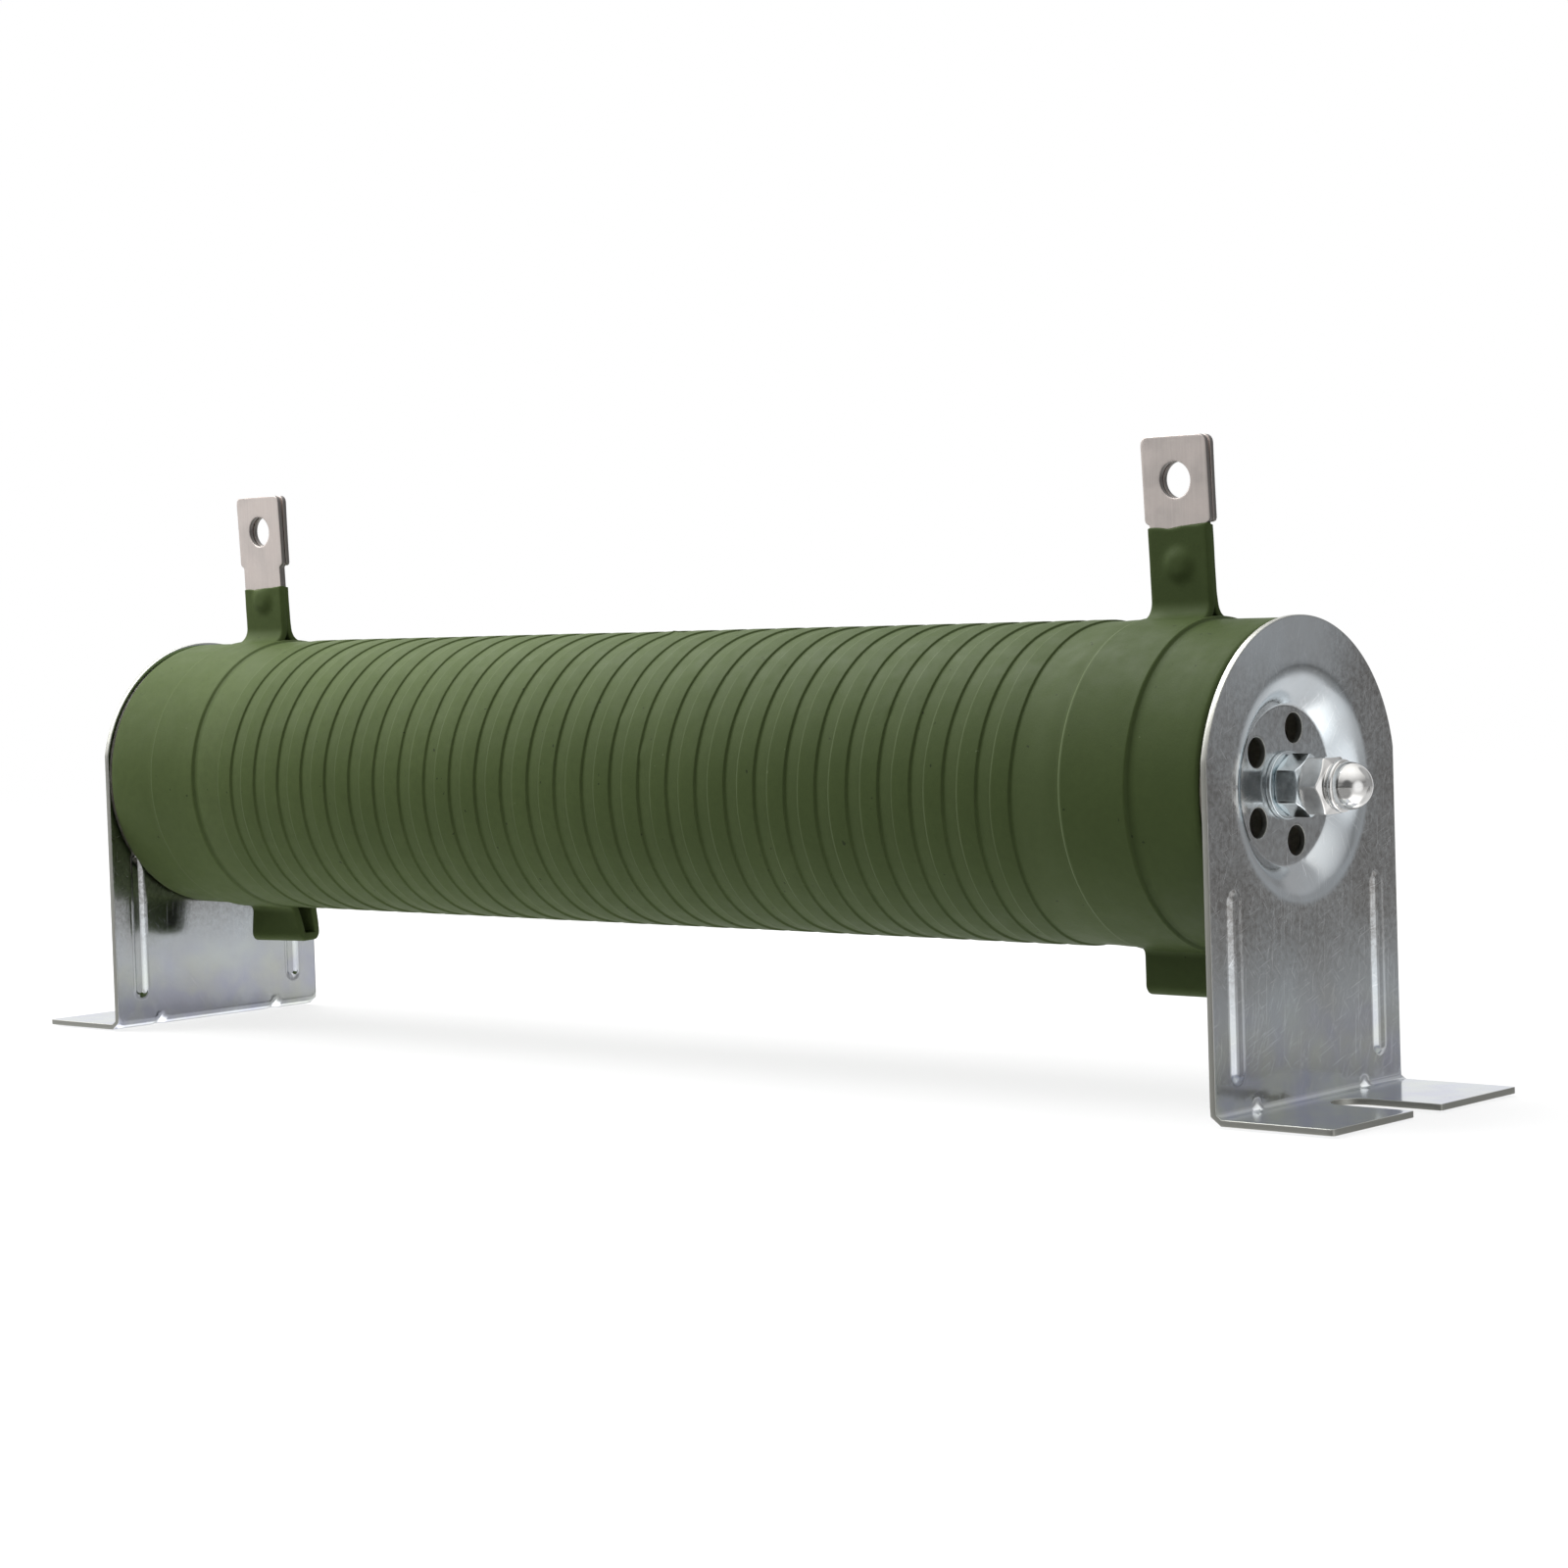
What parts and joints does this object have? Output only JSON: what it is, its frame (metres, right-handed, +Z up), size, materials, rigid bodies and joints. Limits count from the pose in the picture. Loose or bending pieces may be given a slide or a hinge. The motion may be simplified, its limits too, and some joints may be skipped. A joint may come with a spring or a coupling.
{
  "type": "wire-wound resistor",
  "caption": "Long coated ceramic tube resistor with a ribbon winding, two upright terminal lugs and slotted sheet-metal end feet clamped by a through rod.",
  "frame": {"origin": "centre of the base, at the height of the feet's undersides", "axes": "+X along the tube, towards the right-hand foot as the terminals are seen from the front; +Z up through the lugs; the front is -Y"},
  "size_m": [0.35, 0.061, 0.1203],
  "materials": {
    "ceramic": "matt ceramic",
    "ribbon_alloy": "dull",
    "green_silicone": "matt",
    "tinned_steel": "satin",
    "zinc_steel": "zinc plated",
    "fibre_gasket": "matt",
    "zinc_rod": "zinc plated",
    "zinc_hardware": "zinc plated",
    "nickel_hardware": "nickel plated"
  },
  "bodies": {
    "root": {"ceramic_tube": "ceramic", "resistance_ribbon": "ribbon_alloy", "silicone_coating": "green_silicone", "terminal_band_left": "tinned_steel", "terminal_band_right": "tinned_steel", "terminal_lug_left": "tinned_steel", "terminal_lug_right": "tinned_steel", "bracket_left": "zinc_steel", "bracket_right": "zinc_steel", "gasket_left": "fibre_gasket", "gasket_right": "fibre_gasket", "through_rod": "zinc_rod", "washer_left": "zinc_hardware", "washer_right": "zinc_hardware", "hex_nut_left": "zinc_hardware", "hex_nut_right": "zinc_hardware", "cap_nut_left": "nickel_hardware", "cap_nut_right": "nickel_hardware"}
  },
  "joints": []
}
